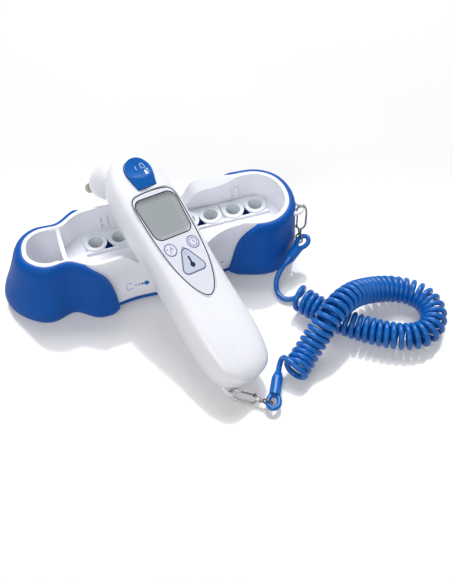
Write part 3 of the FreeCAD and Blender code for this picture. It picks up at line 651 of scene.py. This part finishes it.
def make_scan_mark():
    """A thermometer with a dotted ghost above it, in a round-cornered triangle."""
    edge = rounded(((0, 92.9), (-10.0, 73.0), (10.0, 73.0)), 3.0)
    bulb = circle(0.0, 77.9, 1.75, 20)
    parts = [patch(bulb, key_place), stroke([(0, 78.5), (0, 84.0)], 1.3, key_place)]
    mark("scan_key_edge", [ribbon(edge, 0.5, key_place, closed=True)], "scan_button_body", INK)
    mark("scan_key_thermometer", parts, "scan_button_body", INK)
    dots = []
    for i in range(3):
        y = 84.9 + 1.7 * i
        dots.append(stroke([(-1.0, y), (-0.9, y + 1.0)], 0.28, key_place))
        dots.append(stroke([(0.9, y), (0.9, y + 1.0)], 0.28, key_place))
    dots.append(ribbon(circle(0.0, 89.6, 0.95, 10, 0.0, 180.0), 0.28, key_place))
    mark("scan_key_dots", dots, "scan_button_body", VIOLET_INK)


def make_eject_mark():
    """A white sign on the eject key: a cover leaving the probe."""
    place = draped_place("eject_button", HANDSET, 40.0)
    cover = [Vector(p) for p in ((2.2, 147.6), (2.8, 151.0), (4.6, 151.0), (5.2, 147.6))]
    probe = [Vector(p) for p in ((2.6, 142.6), (3.2, 145.9), (4.2, 145.9), (4.8, 142.6))]
    parts = [ribbon(cover, 0.35, place, closed=True), patch(probe, place),
             ribbon(circle(0.4, 148.6, 1.9, 8, 130.0, 90.0), 0.3, place),
             stroke([(5.6, 143.6), (5.6, 146.8)], 0.35, place),
             stroke([(5.0, 145.9), (5.6, 146.8), (6.2, 145.9)], 0.35, place)]
    mark("eject_key_mark", parts, "eject_button_body", WHITE_INK)


BASE_FRONT = Matrix(((1, 0, 0, 0), (0, 0, -1, 0), (0, 1, 0, 0), (0, 0, 0, 1)))
SIGN_X = -17.5
SIGN_Z = 18.3


def make_base_marks():
    """A small sign on the tray's front, of a cover, an arrow and a probe, and a dark moulded pip."""
    place = draped_place("base_tray", BASE_FRONT, 60.0)
    rim = ((3.4, 2.0), (7.0, 2.7), (7.6, 0.2), (7.0, -2.2), (3.4, -1.7))
    parts = [stroke([(SIGN_X - x, SIGN_Z + z) for x, z in rim], 0.32, place)]
    for start, end, width in ((-1.8, -0.6, 0.8), (0.4, 1.6, 0.8), (2.2, 5.2, 1.1)):
        parts.append(stroke([(SIGN_X + start, SIGN_Z), (SIGN_X + end, SIGN_Z)], width, place))
    parts.append(patch(circle(SIGN_X + 6.0, SIGN_Z, 1.6, 16), place))
    mark("base_sign", parts, "base", BLUE_INK)
    mark("base_pip", [patch(circle(41.5, 15.0, 0.6, 12), place)], "base", INK)


make_base_marks()
make_overlay_lines()
make_display()
make_key_marks()
make_scan_mark()
make_eject_mark()

# ---------------------------------------------------------------- floor and light


def make_floor():
    half = 3000
    corners = [(-half, -half, 0), (half, -half, 0), (half, half, 0), (-half, half, 0)]
    floor = mesh_object("floor", corners, [(0, 1, 2, 3)], smooth=False)
    material, tree, bsdf = shader("floor_gloss")
    shades = ramp(tree, noise(tree, 3.0), (0.63,) * 3, (0.66,) * 3)
    tree.links.new(shades, bsdf.inputs["Base Color"])
    bsdf.inputs["Roughness"].default_value = 0.10
    bsdf.inputs["Specular IOR Level"].default_value = 0.5
    bsdf.inputs["Emission Color"].default_value = (1.0, 1.0, 1.0, 1.0)
    bsdf.inputs["Emission Strength"].default_value = 0.16
    floor.data.materials.append(material)
    floor.location.z = -0.0002


def area_light(name, place, target, size, power):
    data = bpy.data.lights.new(name, "AREA")
    data.shape = "RECTANGLE"
    data.size = size[0]
    data.size_y = size[1]
    data.energy = power
    lamp = bpy.data.objects.new(name, data)
    bpy.context.collection.objects.link(lamp)
    lamp.location = place
    lamp.rotation_mode = "QUATERNION"
    lamp.rotation_quaternion = (Vector(target) - Vector(place)).to_track_quat("-Z", "Y")


def make_world():
    world = bpy.data.worlds.new("world")
    bpy.context.scene.world = world
    world.use_nodes = True
    background = world.node_tree.nodes["Background"]
    background.inputs["Color"].default_value = (0.97, 0.975, 1.0, 1)
    background.inputs["Strength"].default_value = 0.42


make_floor()
make_world()
bpy.context.scene.view_settings.view_transform = "Standard"
area_light("key", (0.35, 1.0, 1.7), (0.0, 0.0, 0.0), (1.3, 1.0), 35.0)
area_light("fill", (-0.9, -1.2, 1.5), (0.0, 0.0, 0.0), (1.2, 1.2), 13.0)
